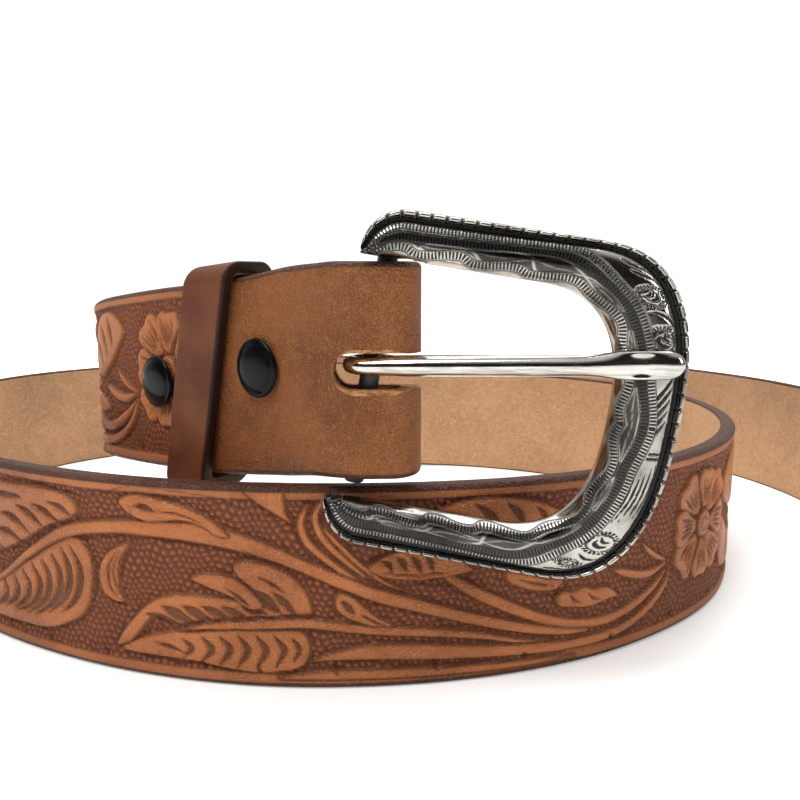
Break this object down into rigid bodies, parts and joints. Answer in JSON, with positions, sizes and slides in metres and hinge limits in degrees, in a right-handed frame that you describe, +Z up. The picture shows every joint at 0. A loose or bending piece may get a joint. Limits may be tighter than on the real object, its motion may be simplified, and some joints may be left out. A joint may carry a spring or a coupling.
{
  "type": "western tooled belt",
  "caption": "Coiled leather belt with floral tooling, a snapped fold for its buckle, a leather keeper, and a C-shaped engraved frame with a swinging tongue.",
  "frame": {"origin": "middle of the bounding box of the coiled belt, on the surface that it stands on", "axes": "+Z up; +X to the right, along the free arms of the buckle; +Y away from the viewer, who faces the buckle"},
  "size_m": [0.2898, 0.2461, 0.0854],
  "materials": {
    "tooled_leather": "tooled and antiqued tan leather with burnished edges",
    "keeper_leather": "smooth brown leather with a dark burnished edge",
    "snap_lacquer": "gloss black lacquer",
    "buckle_silver": "engraved antique silver plate with dark recesses",
    "tongue_nickel": "bright polished nickel"
  },
  "bodies": {
    "belt": {"strap": "tooled_leather", "keeper": "keeper_leather", "snap_1_cap": "snap_lacquer", "snap_1_stud": "snap_lacquer", "snap_2_cap": "snap_lacquer", "snap_2_stud": "snap_lacquer"},
    "frame": {"buckle_frame": "buckle_silver"},
    "tongue": {"tongue": "tongue_nickel"}
  },
  "joints": [
    {"name": "frame_swing", "type": "hinge", "parent": "belt", "child": "frame", "pos_m": [0.00032, -0.10909, 0.0576], "axis": [-0.1564, 0, -0.9877], "range_deg": [0, 12]},
    {"name": "tongue_swing", "type": "hinge", "parent": "frame", "child": "tongue", "pos_m": [0.00065, -0.10909, 0.0597], "axis": [0, 0, -1], "range_deg": [0, 70]}
  ]
}
